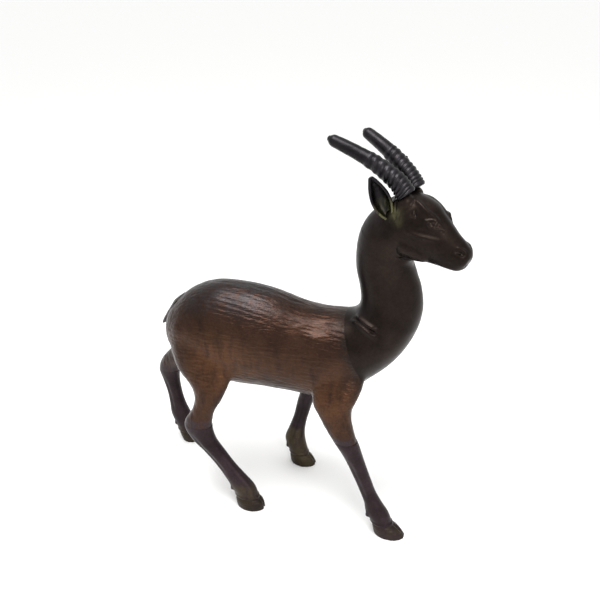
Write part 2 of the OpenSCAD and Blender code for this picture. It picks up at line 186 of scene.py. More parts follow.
TAIL_PATH = (
    (-84, 0, 167, 3.5, 2, -140, 0),
    (-91, 0, 160, 5.5, 2.6, -130, 0),
    (-97, 0, 151, 5, 2.5, -120, 0),
    (-102.5, 0, 143.5, 2.8, 1.7, -118, 0),
    (-105.5, 0, 139.5, 1, 0.9, -118, 0),
)
HORN_PATHS = {
    "right": ((77, -10.5, 265), (70, -9, 273.5), (51, -4, 284.2), (23.5, 3.5, 293.5)),
    "left": ((81, 4, 265), (75, 7, 273.5), (61.5, 13.5, 285), (42.5, 25, 294.5)),
}
# an ear: its root, the way it grows and the way its cup faces
EARS = {
    "right": ((67, -15, 252.5), (-0.36, -0.28, 0.9), (0.35, -0.93, -0.16)),
    "left": ((73.5, 11, 257), (-0.1, 0.72, 0.69), (0.85, 0.42, -0.3)),
}


# ---- places and sections ----


def placed(point):
    """A point of the station lists, in mm, moved to the frame's origin."""
    return np.asarray(point, float)[:3] - MIDDLE


def finer(path, steps):
    """A list of stations or points made finer along a smooth curve through all of them."""
    rows = [np.array(row, float) for row in path]
    last = len(rows) - 1
    result = []
    for i in range(last):
        a = rows[max(i - 1, 0)]
        b = rows[i]
        c = rows[i + 1]
        d = rows[min(i + 2, last)]
        for step in range(steps):
            t = step / steps
            cubic = (3 * b - a - 3 * c + d) * t**3
            square = (2 * a - 5 * b + 4 * c - d) * t**2
            result.append(0.5 * (2 * b + (c - a) * t + square + cubic))
    result.append(rows[last])
    return result


def directions(station):
    """The directions across a station, up its depth and along its normal."""
    lean = math.radians(station[5])
    yaw = math.radians(station[6])
    across = Vector((math.sin(yaw), math.cos(yaw), 0))
    deep = Vector((-math.sin(lean) * math.cos(yaw), math.sin(lean) * math.sin(yaw), math.cos(lean)))
    return across, deep, across.cross(deep)


def section(centre, across, deep):
    """The matrix that puts a unit circle round a centre, with two half axes, all in mm."""
    normal = across.cross(deep).normalized()
    matrix = Matrix((across * MM, deep * MM, normal * MM)).transposed().to_4x4()
    matrix.translation = Vector(placed(centre)) * MM
    return matrix


def station_section(station):
    across, deep, _ = directions(station)
    return section(station[:3], across * station[3], deep * station[4])


def on_skull(ahead, left, up):
    """A point, in mm, given along the face, across it and above its middle."""
    across, deep, normal = directions(SKULL)
    return np.array(SKULL[:3]) + np.array(normal * ahead + across * left + deep * up)


def both_cheeks(points):
    """The same line on the right and on the left of the face, whose middle drifts to the right."""
    # sideways per mm ahead
    drift = 0.14
    mirrored = [(ahead, -drift * ahead - left, up) for ahead, left, up in points]
    return [[on_skull(*p) for p in side] for side in (points, mirrored)]


def at_height(path, height):
    """The station of a leg at a height."""
    rows = np.array(finer(path, 6))[::-1]
    return [np.interp(height, rows[:, 2], rows[:, k]) for k in range(rows.shape[1])]


# ---- lofts, skins and pieces ----


def loft(bm, sections, sides):
    """A closed skin over a row of circles."""
    loops = []
    for matrix in sections:
        ring = bmesh.ops.create_circle(bm, cap_ends=False, segments=sides, radius=1, matrix=matrix)
        edges = dict.fromkeys(e for v in ring["verts"] for e in v.link_edges)
        loops.append(list(edges))
    for before, after in zip(loops, loops[1:]):
        bmesh.ops.bridge_loops(bm, edges=before + after)
    for end in (loops[0], loops[-1]):
        bmesh.ops.contextual_create(bm, geom=end)


def muscle(bm, start, start_r, end, end_r, flat=1.0):
    """A run of flattened balls from one point to another, in mm."""
    balls = 7
    for i in range(balls):
        t = i / (balls - 1)
        radius = (start_r + (end_r - start_r) * t) * MM
        place = placed(np.array(start) * (1 - t) + np.array(end) * t) * MM
        shape = Matrix.Diagonal((radius, radius * flat, radius, 1))
        matrix = Matrix.Translation(place) @ shape
        bmesh.ops.create_icosphere(bm, subdivisions=3, radius=1, matrix=matrix)


def even_skin(name, build, cell, rounds):
    """Everything that build() puts in a bmesh, fused to one closed skin of small even cells."""
    bm = bmesh.new()
    build(bm)
    bmesh.ops.recalc_face_normals(bm, faces=bm.faces)
    rough = bpy.data.meshes.new(name)
    bm.to_mesh(rough)
    bm.free()
    block = bpy.data.objects.new(name, rough)
    bpy.context.scene.collection.objects.link(block)
    cells = block.modifiers.new("Cells", "REMESH")
    cells.mode = "VOXEL"
    cells.voxel_size = cell * MM
    soften = block.modifiers.new("Soften", "SMOOTH")
    soften.factor = 0.5
    soften.iterations = rounds
    graph = bpy.context.evaluated_depsgraph_get()
    skin = bpy.data.meshes.new_from_object(block.evaluated_get(graph))
    bpy.data.objects.remove(block)
    bpy.data.meshes.remove(rough)
    return skin


def points_of(mesh):
    """The mesh's vertices in mm of the station lists."""
    flat = np.empty(len(mesh.vertices) * 3)
    mesh.vertices.foreach_get("co", flat)
    return flat.reshape(-1, 3) / MM + MIDDLE


def normals_of(mesh):
    flat = np.empty(len(mesh.vertices) * 3)
    mesh.vertex_normals.foreach_get("vector", flat)
    return flat.reshape(-1, 3)


def put_points(mesh, points):
    mesh.vertices.foreach_set("co", ((points - MIDDLE) * MM).ravel())
    mesh.update()


def relax(mesh, weight, rounds):
    """Smooths a mesh where weight says so, which rounds off the corners between its parts."""
    ends = np.empty(len(mesh.edges) * 2, int)
    mesh.edges.foreach_get("vertices", ends)
    a, b = ends.reshape(-1, 2).T
    count = len(mesh.vertices)
    links = np.bincount(a, minlength=count) + np.bincount(b, minlength=count)
    points = points_of(mesh)
    for _ in range(rounds):
        mean = np.empty_like(points)
        for axis in range(3):
            from_b = np.bincount(a, points[b, axis], count)
            from_a = np.bincount(b, points[a, axis], count)
            mean[:, axis] = (from_b + from_a) / links
        points += (mean - points) * weight[:, None]
    put_points(mesh, points)


def ramp(values, start, end):
    """0 before start, 1 after end and smooth between them, on numbers or arrays."""
    t = np.clip((values - start) / (end - start), 0, 1)
    return t * t * (3 - 2 * t)


def spot(points, centre, radius):
    """1 at a centre, fading over a radius in mm."""
    return np.exp(-(np.linalg.norm(points - np.array(centre), axis=1) / radius) ** 2)


def line_distance(points, line):
    """How far each point is from a line through several points, and where along it, 0 to 1."""
    away = np.full(len(points), np.inf)
    along = np.zeros(len(points))
    for i, (start, end) in enumerate(zip(line, line[1:])):
        start = np.asarray(start, float)
        step = np.asarray(end, float) - start
        t = np.clip((points - start) @ step / (step @ step), 0, 1)
        distance = np.linalg.norm(points - start - t[:, None] * step, axis=1)
        nearer = distance < away
        away = np.where(nearer, distance, away)
        along = np.where(nearer, (i + t) / (len(line) - 1), along)
    return away, along


def ridge(points, line, width, height):
    """The lift of a ridge, or with a negative height a groove, that fades out at its ends."""
    away, along = line_distance(points, line)
    fade = np.clip(0.3 + 4 * np.minimum(along, 1 - along), 0, 1)
    return height * fade * np.exp(-((away / width) ** 2))


def waves(points, pitch, seed=0.0):
    """A smooth random value for each point, from about -1 to 1, with a pitch in mm for each axis."""
    scaled = points / np.array(pitch) + seed
    return np.array([noise.noise(Vector(p)) for p in scaled])


def sculpt(mesh, lift):
    """Moves each vertex along its normal by a lift in mm."""
    put_points(mesh, points_of(mesh) + normals_of(mesh) * lift[:, None])


def paint(mesh, name, values):
    """Keeps a value for each vertex as an attribute that a material can read."""
    layer = mesh.attributes.new(name, "FLOAT", "POINT")
    layer.data.foreach_set("value", np.clip(values, 0, 1).astype(np.float32))


def casting(skin, name, kept, planes):
    """A closed mesh: the vertices of a skin that are kept, trimmed flat at planes.

    A plane is a point in mm, the direction that is kept, and where it cuts."""
    bm = bmesh.new()
    bm.from_mesh(skin)
    middle = Vector(MIDDLE)
    outside = [v for v, inside in zip(bm.verts, kept) if not inside]
    bmesh.ops.delete(bm, geom=outside, context="VERTS")
    for point, inward, where in planes:
        verts = [v for v in bm.verts if where(v.co / MM + middle)]
        edges = dict.fromkeys(e for v in verts for e in v.link_edges)
        faces = dict.fromkeys(f for v in verts for f in v.link_faces)
        place = Vector(placed(point)) * MM
        bmesh.ops.bisect_plane(
            bm, geom=verts + list(edges) + list(faces), dist=CUT_TOLERANCE,
            plane_co=place, plane_no=Vector(inward), clear_inner=True,
        )
    for face in bm.faces:
        face.smooth = True
    rim = [e for e in bm.edges if e.is_boundary]
    for edge in rim:
        edge.smooth = False
    caps = bmesh.ops.holes_fill(bm, edges=rim, sides=0)["faces"]
    for cap in caps:
        cap.smooth = False
    bmesh.ops.triangulate(bm, faces=caps)
    mesh = bpy.data.meshes.new(name)
    bm.to_mesh(mesh)
    bm.free()
    return mesh


def smooth_mesh(bm, name):
    """A mesh from a bmesh, smooth all over and facing outwards."""
    bmesh.ops.recalc_face_normals(bm, faces=bm.faces)
    for face in bm.faces:
        face.smooth = True
    mesh = bpy.data.meshes.new(name)
    bm.to_mesh(mesh)
    bm.free()
    return mesh


def add_piece(name, mesh, material, node):
    """Puts a finished mesh in the scene in place of its casting in the frame."""
    if not mesh.polygons:
        raise RuntimeError(f"{name} came out empty")
    piece = bpy.data.objects.new(name, mesh)
    bpy.context.scene.collection.objects.link(piece)
    mesh.materials.append(material)
    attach(piece, "root")
    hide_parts(node)
    return piece


def everywhere(_place):
    return True


def ahead_of(points, joint):
    """How far each point lies ahead of a joint, in mm."""
    return (points - np.array(joint[:3])) @ np.array(directions(joint)[2])


def beyond(points, joint):
    """Which points lie ahead of a joint, with a little to spare for trimming."""
    return ahead_of(points, joint) > -JOINT_SPARE


# ---- finishes ----


def linear(hex_code):
    """An sRGB hex colour as linear red, green and blue with alpha."""
    parts = [int(hex_code[i:i + 2], 16) / 255 for i in (1, 3, 5)]
    return [p / 12.92 if p <= 0.04045 else ((p + 0.055) / 1.055) ** 2.4 for p in parts] + [1.0]


def add_node(tree, kind, settings, inputs):
    """Adds a node with its settings, and feeds its inputs with values or with other nodes' outputs."""
    new = tree.nodes.new(kind)
    for key, value in settings.items():
        setattr(new, key, value)
    for key, value in inputs.items():
        if isinstance(value, bpy.types.NodeSocket):
            tree.links.new(value, new.inputs[key])
        else:
            new.inputs[key].default_value = value
    return new


# places of a Mix node's two inputs and its output, set to colours and set to numbers
MIX_COLOURS = (6, 7, 2)
MIX_NUMBERS = (2, 3, 0)


def blend_of(tree, data_type, factor, first, second):
    """The output of a Mix node between two colours or two numbers."""
    low, high, result = MIX_COLOURS if data_type == "RGBA" else MIX_NUMBERS
    inputs = {0: factor, low: first, high: second}
    return add_node(tree, "ShaderNodeMix", {"data_type": data_type}, inputs).outputs[result]


def pattern(tree, place, pitch, detail=3.0, stretch=(1, 1, 1)):
    """A noise whose lumps are about pitch mm apart, drawn out by stretch along each axis."""
    scale = [1 / (pitch * MM * s) for s in stretch]
    mapped = add_node(tree, "ShaderNodeMapping", {}, {"Vector": place, "Scale": scale})
    settings = {"noise_dimensions": "3D"}
    inputs = {"Vector": mapped.outputs["Vector"], "Scale": 1.0, "Detail": detail, "Roughness": 0.55}
    return add_node(tree, "ShaderNodeTexNoise", settings, inputs).outputs["Fac"]


def contrast(tree, value, low, high):
    """A value stretched so that low becomes 0 and high becomes 1."""
    inputs = {"Value": value, "From Min": low, "From Max": high}
    return add_node(tree, "ShaderNodeMapRange", {"clamp": True}, inputs).outputs["Result"]


def product(tree, first, second):
    return add_node(tree, "ShaderNodeMath", {"operation": "MULTIPLY"}, {0: first, 1: second}).outputs[0]


def patina(name, deep, pale, rubs, roughness, wax, strokes, grain):
    """Cast bronze under a chemical patina.

    deep and pale are the two colours that it clouds between over some 20 mm. rubs are pairs of a
    painted attribute and the colour seen where it is 1. wax is how strong the polish over it is,
    strokes the depth in mm of the chased hair, and grain that of the skin left by the mould."""
    material = bpy.data.materials.new(name)
    material.use_nodes = True
    tree = material.node_tree
    tree.nodes.clear()
    place = add_node(tree, "ShaderNodeTexCoord", {}, {}).outputs["Object"]
    clouds = contrast(tree, pattern(tree, place, 22, 5.0), 0.36, 0.64)
    colour = blend_of(tree, "RGBA", clouds, deep, pale)
    streaks = pattern(tree, place, 5, 4.0, (1, 1, 3.5))
    for attribute, rub_colour in rubs:
        painted = add_node(tree, "ShaderNodeAttribute", {"attribute_name": attribute}, {}).outputs["Fac"]
        broken = product(tree, painted, contrast(tree, streaks, 0.3, 0.55))
        colour = blend_of(tree, "RGBA", broken, colour, rub_colour)
    specks = contrast(tree, pattern(tree, place, 1.6, 2.0), 0.3, 0.7)
    shade = blend_of(tree, "FLOAT", specks, 0.86, 1.14)
    colour = add_node(
        tree, "ShaderNodeVectorMath", {"operation": "SCALE"}, {0: colour, "Scale": shade}
    ).outputs["Vector"]
    rough_spots = contrast(tree, pattern(tree, place, 7, 4.0), 0.3, 0.7)
    rough = blend_of(tree, "FLOAT", rough_spots, roughness - 0.07, roughness + 0.07)
    height = pattern(tree, place, 1.3, 3.0)
    bump = add_node(
        tree, "ShaderNodeBump", {}, {"Strength": 1.0, "Distance": grain * MM, "Height": height}
    ).outputs["Normal"]
    if strokes:
        body_hair = pattern(tree, place, 1.5, 2.0, (5, 1, 1))
        leg_hair = pattern(tree, place, 1.5, 2.0, (1.4, 1.4, 4))
        legs = add_node(tree, "ShaderNodeAttribute", {"attribute_name": "leg"}, {}).outputs["Fac"]
        chased = add_node(tree, "ShaderNodeAttribute", {"attribute_name": "hair"}, {}).outputs["Fac"]
        hair = contrast(tree, blend_of(tree, "FLOAT", legs, body_hair, leg_hair), 0.3, 0.7)
        cut = product(tree, hair, chased)
        bump = add_node(
            tree, "ShaderNodeBump", {},
            {"Strength": 1.0, "Distance": strokes * MM, "Height": cut, "Normal": bump},
        ).outputs["Normal"]
    shader = add_node(
        tree, "ShaderNodeBsdfPrincipled", {},
        {
            "Base Color": colour, "Metallic": 1.0, "Roughness": rough, "Normal": bump,
            "Coat Weight": wax, "Coat Roughness": 0.26,
        },
    )
    add_node(tree, "ShaderNodeOutputMaterial", {}, {"Surface": shader.outputs["BSDF"]})
    return material


def chased_bronze(colours):
    """Red-brown patina over hair chased with a punch: short bright strokes where hands rub it."""
    # the sheen rub paints a blue-grey reflection into the colour of the back, rump and tail
    rubs = (
        ("ochre", colours.ochre), ("plum", colours.plum_pale), ("painted_sheen", colours.painted_sheen),
        ("neck_shade", colours.neck_pale),
    )
    return patina("Chased bronze, red-brown patina", colours.body_deep, colours.body_pale, rubs,
                  0.38, 0.14, 0.3, 0.05)


def smooth_bronze(colours):
    """Dark brown patina on smooth filed bronze: broad soft reflections, a blue-grey reflection painted
    on the nape, green in the hollows.
    """
    # the sheen rub paints a blue-grey reflection into the colour of the nape and head
    rubs = (("verdigris", colours.verdigris), ("painted_sheen", colours.painted_sheen))
    return patina("Smooth bronze, dark brown patina", colours.neck_deep, colours.neck_pale, rubs,
                  0.42, 0.06, 0, 0.05)


def plum_bronze(colours):
    """Purple-brown patina on smooth bronze, thinned to olive where the feet are handled."""
    rubs = (("olive", colours.olive_pale),)
    return patina("Smooth bronze, plum patina", colours.plum_deep, colours.plum_pale, rubs,
                  0.44, 0.05, 0, 0.06)


def olive_bronze(colours):
    """Dull olive-brown patina, rough from standing: the light spreads wide over it."""
    rubs = (("plum", colours.plum_pale),)
    return patina("Worn bronze, olive patina", colours.olive_deep, colours.olive_pale, rubs,
                  0.5, 0.05, 0, 0.09)


def black_bronze(colours):
    """Near-black patina on ringed horns, a little brighter on the crests of the rings."""
    rubs = (("crest", colours.horn_crest),)
    return patina("Ringed bronze, black patina", colours.horn_deep, colours.horn_pale, rubs,
                  0.42, 0.06, 0, 0.07)


def verdigris_bronze(colours):
    """Dark brown patina with green-gold verdigris caught in the root of the ear."""
    rubs = (("verdigris", colours.verdigris),)
    return patina("Thin cast bronze, verdigris", colours.horn_deep, colours.horn_pale, rubs,
                  0.42, 0.06, 0, 0.07)


def raw_bronze(colours):
    """Bare turned bronze inside the joints, bright and yellow."""
    return patina("Bare bronze", colours.raw_deep, colours.raw_pale, (), 0.3, 0.0, 0, 0.02)


# ---- settings ----


def hex_colour(label, about, value):
    return FloatVectorProperty(
        name=label, description=about, subtype="COLOR", size=4, min=0, max=1, default=linear(value)
    )


class StatuetteSizes(bpy.types.PropertyGroup):
    body_cell: FloatProperty(
        name="Body cell", description="Size of a mesh cell on the torso and neck",
        default=0.85 * MM, min=0.6 * MM, max=3 * MM, unit="LENGTH", precision=5,
    )
    head_cell: FloatProperty(
        name="Head cell", description="Size of a mesh cell on the head",
        default=0.5 * MM, min=0.35 * MM, max=2 * MM, unit="LENGTH", precision=5,
    )
    leg_cell: FloatProperty(
        name="Leg cell", description="Size of a mesh cell on the shanks and hooves",
        default=0.55 * MM, min=0.4 * MM, max=2 * MM, unit="LENGTH", precision=5,
    )
    hair_depth: FloatProperty(
        name="Hair depth", description="Depth of the hair chased into the body",
        default=0.24 * MM, min=0, max=1 * MM, unit="LENGTH", precision=5,
    )
    horn_rings: IntProperty(
        name="Horn rings", description="Number of raised rings on a horn", default=10, min=6, max=12,
    )
    horn_ring_height: FloatProperty(
        name="Horn ring height", description="Height of a ring above the horn",
        default=0.65 * MM, min=0, max=1.4 * MM, unit="LENGTH", precision=5,
    )
    horn_base: FloatProperty(
        name="Horn base", description="Diameter of a horn at its pedicle",
        default=13.2 * MM, min=11 * MM, max=16 * MM, unit="LENGTH", precision=5,
    )
    horn_tip: FloatProperty(
        name="Horn tip", description="Diameter of a horn just before its tip",
        default=7.4 * MM, min=5 * MM, max=9 * MM, unit="LENGTH", precision=5,
    )
    ear_length: FloatProperty(
        name="Ear length", description="From the root of an ear to its tip",
        default=29 * MM, min=25 * MM, max=34 * MM, unit="LENGTH", precision=5,
    )
    ear_width: FloatProperty(
        name="Ear width", description="Widest measure across an ear",
        default=14 * MM, min=10 * MM, max=18 * MM, unit="LENGTH", precision=5,
    )
    ear_leaf: FloatProperty(
        name="Ear leaf", description="Thickness of an ear",
        default=1.7 * MM, min=1 * MM, max=3 * MM, unit="LENGTH", precision=5,
    )


class StatuetteColours(bpy.types.PropertyGroup):
    body_deep: hex_colour("Body, deep", "Darker colour of the body", "#2a1c16")
    body_pale: hex_colour("Body, pale", "Paler colour of the body", "#3c281e")
    ochre: hex_colour("Ochre", "Where the body's patina is rubbed thin", "#4c3221")
    # painted sheen: a blue-grey reflection painted into the colour of the back, rump, tail and nape
    painted_sheen: hex_colour("Dusk", "Blue-grey sheen on the back and nape", "#2f2b2c")
    neck_deep: hex_colour("Neck, deep", "Darker colour of neck and head", "#1b1512")
    neck_pale: hex_colour("Neck, pale", "Paler colour of neck and head", "#28201c")
    verdigris: hex_colour("Verdigris", "Green-gold corrosion at the ears", "#5d5b41")
    plum_deep: hex_colour("Plum, deep", "Darker colour of the shanks", "#251d1f")
    plum_pale: hex_colour("Plum, pale", "Paler colour of the shanks", "#33292c")
    olive_deep: hex_colour("Olive, deep", "Darker colour of the hooves", "#29231c")
    olive_pale: hex_colour("Olive, pale", "Paler colour of the hooves", "#3f372b")
    horn_deep: hex_colour("Horn, deep", "Darker colour of the horns", "#1c1a1c")
    horn_pale: hex_colour("Horn, pale", "Paler colour of the horns", "#282628")
    horn_crest: hex_colour("Horn, crest", "Crests of the horn rings", "#353336")
    raw_deep: hex_colour("Bare, deep", "Darker colour of bare bronze", "#8a6a3c")
    raw_pale: hex_colour("Bare, pale", "Paler colour of bare bronze", "#b08d57")
    floor: hex_colour("Floor", "Floor of the studio", "#fbfbfa")


# ---- the body: torso and neck ----


def body_parts(bm):
    """Torso, neck, throat and upper legs, with the muscles that stand out."""
    chain = finer(TORSO_PATH + NECK_PATH[1:] + HEAD_PATH[1:3], 4)
    loft(bm, [station_section(row) for row in chain], 56)
    for path in LEG_PATHS.values():
        loft(bm, [station_section(row) for row in finer(path, 3)], 32)
    for side in SIDES:
        # shoulder blade, flank, haunch and ribs
        muscle(bm, (22, 20.5 * side, 148), 15, (40, 22 * side, 130), 14, 0.45)
        muscle(bm, (-46, 22 * side, 128), 15, (-62, 21 * side, 143), 20, 0.45)
        muscle(bm, (-72, 19 * side, 143), 18, (-68, 20.5 * side, 126), 17, 0.45)
        muscle(bm, (14, 22 * side, 134), 18, (-8, 22 * side, 138), 20, 0.45)


def body_hair(points):
    """The lift of the chased hair, in parts of its depth: dashes along the body, tufts on the legs."""
    x, y, z = points.T
    dashes = waves(points, (8, 1.9, 1.9))
    tufts = waves(points, (2.4, 2.4, 6), 7.3)
    legs = ramp(z, 118, 96)
    # long lines that run from rump to loin a little below the back, 3.2 mm apart at 34 mm from
    # the middle of the body, in a band of 32 degrees round it
    round_body = np.arctan2(z - 140, np.abs(y))
    back = np.abs(round_body - math.radians(62)) < math.radians(16)
    lines = np.sin((round_body * 34 + 0.12 * x) * 2 * math.pi / 3.2)
    lined = back * ramp(x, -74, -58) * ramp(x, -2, -22)
    hair = dashes * (1 - legs) + tufts * legs
    return hair * (1 - 0.7 * lined) + 0.4 * lines * lined


def body_relief(points, hair_depth):
    """The lift, in mm, of everything that is modelled on the body."""
    lift = 0.22 * waves(points, (16, 16, 16), 3.1)
    on_torso = ramp(ahead_of(points, NECK_JOINT), 0, -1.2)
    above_knees = np.where(points[:, 0] > MIDRIFF, ramp(points[:, 2], KNEE + 4, KNEE + 8),
                           ramp(points[:, 2], HOCK + 5, HOCK + 8))
    lift += hair_depth * body_hair(points) * on_torso * above_knees
    # features given on the left of the body: line, width and height
    features = (
        # hollow behind the shoulder blade, and its front edge
        (((24, 17, 168), (14, 29, 150), (17, 32, 128)), 5, -0.5),
        (((44, 15, 166), (49, 25, 150), (47, 30, 130)), 4, 0.55),
        # fold of the flank, and the hollow behind the thigh
        (((-38, 30, 116), (-37, 32, 134), (-46, 29, 154)), 6, -0.7),
        (((-84, 24, 152), (-88, 24, 136), (-84, 27, 118)), 5, -0.6),
        # two folds of skin at the root of the neck, and the groove between them
        (((47.1, 11.6, 171.9), (56, 17.5, 170), (64, 21.6, 167)), 2.0, 2.4),
        (((49.8, 11.3, 175.3), (58, 17.2, 173.2), (65, 20.8, 171.6)), 1.9, 2.2),
        (((48.4, 11.4, 173.6), (57, 17.3, 171.6), (64.6, 21.2, 169.3)), 1.2, -2.2),
    )
    for side in SIDES:
        for line, width, height in features:
            lift += ridge(points, [(x, y * side, z) for x, y, z in line], width, height)
        # elbow
        lift += 0.9 * spot(points, (24, 31 * side, 112), 8)
    # windpipe down the front of the neck, and the groove along the spine
    lift += ridge(points, [(88, 0, 205), (92, 0, 184), (88, 0, 164)], 6, 0.5)
    lift += ridge(points, [(-60, 0, 182), (-20, 0, 180), (20, 0, 172)], 2.2, -0.35)
    return lift


def fore_leg(place):
    return place.x > MIDRIFF and place.z < LEG_ROOT_HEIGHT


def hind_leg(place):
    return place.x <= MIDRIFF and place.z < LEG_ROOT_HEIGHT


def paint_body(mesh):
    """Where the body's patina is rubbed to ochre, carries a painted blue-grey sheen, or ends in the plum
    of the shanks.
    """
    points = points_of(mesh)
    x, _, z = points.T
    edge = 1.6 * waves(points, (5, 5, 5), 1.7)
    knees = np.where(x > MIDRIFF, KNEE + 5, HOCK + 7)
    # thin places on haunch, flank, upper arm, gaskin and ribs: strength, place and radius
    rubbed = (
        (0.95, (-52, 30, 134), 25), (0.8, (-34, 30, 122), 20), (1.0, (38, 34, 113), 21),
        (0.4, (-62, 32, 98), 16), (0.35, (4, 30, 134), 22),
    )
    ochre = np.zeros(len(points))
    for side in SIDES:
        for strength, (ahead, out, up), radius in rubbed:
            ochre += strength * spot(points, (ahead, out * side, up), radius)
    paint(mesh, "ochre", ochre)
    paint(mesh, "plum", ramp(z + edge, knees + 1.5, knees - 1.5))
    # painted sheen: a blue-grey reflection painted on the top of the back behind the shoulders and on
    # the end of the rump
    paint(mesh, "painted_sheen", 0.9 * ramp(z, 160, 178) * ramp(x, 10, -30) + 0.5 * ramp(x, -86, -100))
    paint(mesh, "leg", ramp(z, 122, 100))
    paint(mesh, "neck_shade", ramp(ahead_of(points, NECK_JOINT) + 2 * edge, -9, 0))
    flank = spot(points, (-20, -22, 166), 26) + spot(points, (-20, 22, 166), 26)
    shoulder = spot(points, (36, -22, 158), 18) + spot(points, (36, 22, 158), 18)
    arm = spot(points, (42, -33, 126), 20) + spot(points, (42, 33, 126), 20)
    paint(mesh, "hair", 0.4 + 0.6 * (flank + shoulder + arm) * ramp(z, 90, 100))


def paint_neck(mesh):
    """A blue-grey sheen painted down the nape where the surface faces backwards, and no verdigris."""
    paint(mesh, "verdigris", np.zeros(len(mesh.vertices)))
    # painted sheen, stronger the more the surface faces backwards
    paint(mesh, "painted_sheen", 0.8 * ramp(normals_of(mesh)[:, 0], -0.2, -0.9))


# ---- the head ----


def head_parts(bm):
    """Upper neck and head, with brows, cheeks, nostril wings and the pedicles of the horns."""
    chain = finer(NECK_PATH[4:] + HEAD_PATH[1:], 5)
    loft(bm, [station_section(row) for row in chain], 56)
    for side in SIDES:
        muscle(bm, on_skull(12, 9 * side, 15.5), 3, on_skull(21, 9.5 * side, 11), 3)
        muscle(bm, on_skull(9, 9.5 * side, -7), 7.4, on_skull(21, 7.3 * side, -5.5), 6.3)
        muscle(bm, on_skull(37, 4.7 * side, 1.5), 4.3, on_skull(40.5, 4.2 * side, -1), 3.6)
    for name, inward in (("right", 1), ("left", -1)):
        base = np.array(HORN_PATHS[name][0])
        muscle(bm, base - (2, -inward, 7), 7, base - (0, 0, 4), 5.7)


def head_relief(points):
    """The lift, in mm, of the features of the face."""
    lift = 0.12 * waves(points, (9, 9, 9), 2.2)
    # features given on the right of the face: line, width and height
    features = (
        # brow over the eye
        (((1, -6, 22), (10.4, -8.2, 20.6), (17.5, -7.6, 19.8), (22, -7, 18.6)), 1.7, 1.4),
        # upper and lower lid
        (((14.6, -11.2, 16.6), (18, -9.4, 18.9), (22, -8.3, 18.4), (25.2, -8.1, 16.4)), 0.9, 1.3),
        (((14.6, -11.2, 16.2), (18.5, -11.4, 14.6), (22.5, -10.2, 14.4), (25.2, -8.3, 16.2)), 0.9, 1.1),
        # tear groove ahead of the eye
        (((25.5, -8.4, 15.2), (28.5, -8.4, 13), (31, -8.3, 11)), 1.1, -0.7),
        # crest along the face, and the hollow over it
        (((8, -15.5, 5), (17, -14, 6.6), (26, -10.6, 8.8), (34, -7.6, 9.6)), 1.4, 1.1),
        (((12, -14.5, 9.2), (20, -12.6, 10.4), (28, -9.4, 11.6)), 1.7, -0.6),
        # nostril, its upper rim and its lower rim
        (((39.5, -9.2, 8.6), (42.5, -8.6, 9.4), (44.2, -7.4, 8.6)), 1.1, -2.2),
        (((38.2, -8.4, 10.6), (42.2, -7.2, 11.2), (45.6, -5.8, 9.6)), 1.1, 1.2),
        (((38.6, -10.4, 6.6), (42.4, -9.6, 6.8), (45.6, -7.8, 6.6)), 1.0, 0.5),
        # mouth and the lip under it
        (((33, -10.2, -1.5), (39, -10.2, 0.6), (44.5, -8.4, 1.6), (48, -4.6, 1.9)), 1.0, -2.0),
        (((34, -9.6, -4.2), (40, -9.2, -2.4), (45.4, -7, -1.4)), 1.6, 0.9),
        # angle of the jaw and the fold behind it
        (((22, -11.6, -11), (16, -12.2, -14.5), (8, -13, -15)), 2.4, 0.9),
        (((20, -9.5, -16), (12, -10.5, -18.5), (3, -12.5, -16)), 1.8, -1.0),
        # streaks below the pedicle
        (((-3.1, -11, 26), (1.4, -12.6, 20.4), (5.2, -13.2, 14.6)), 0.9, -1.4),
        (((-0.4, -9.4, 25), (4.2, -11.2, 19.6), (7.4, -12.4, 15.2)), 0.9, -1.4),
        (((-6.2, -13, 24), (-2.2, -14.2, 18), (1.6, -14.8, 12.4)), 0.9, -1.0),
        (((-8.6, -13.6, 18), (-5.6, -14.6, 12), (-2.6, -15.4, 6.6)), 0.9, -1.0),
    )
    for line, width, height in features:
        for side_line in both_cheeks(line):
            lift += ridge(points, side_line, width, height)
    for eye in both_cheeks([(20, -9.7, 16.7)]):
        lift += -1.3 * spot(points, eye[0], 5.4) + 2.4 * spot(points, eye[0], 2.7)
    for temple in both_cheeks([(9, -13, 15)]):
        lift += -0.7 * spot(points, temple[0], 4.5)
    # flat bridge of the nose
    bridge = [on_skull(26, -1.8, 16), on_skull(34, -2.4, 14), on_skull(42, -2.9, 12)]
    lift += ridge(points, bridge, 3.2, 0.5)
    return lift


def paint_head(mesh):
    """Verdigris in streaks beside the ear, and a blue-grey sheen painted on the nape where the surface
    faces backwards.
    """
    points = points_of(mesh)
    beside_ear = spot(points, (71.6, -14.7, 254), 3.6) + 0.5 * spot(points, (74, -17, 249.5), 3)
    paint(mesh, "verdigris", 1.2 * beside_ear)
    # painted sheen, stronger the more the surface faces backwards
    paint(mesh, "painted_sheen", 0.7 * ramp(normals_of(mesh)[:, 0], -0.2, -0.9))


# ---- horns, ears and tail ----


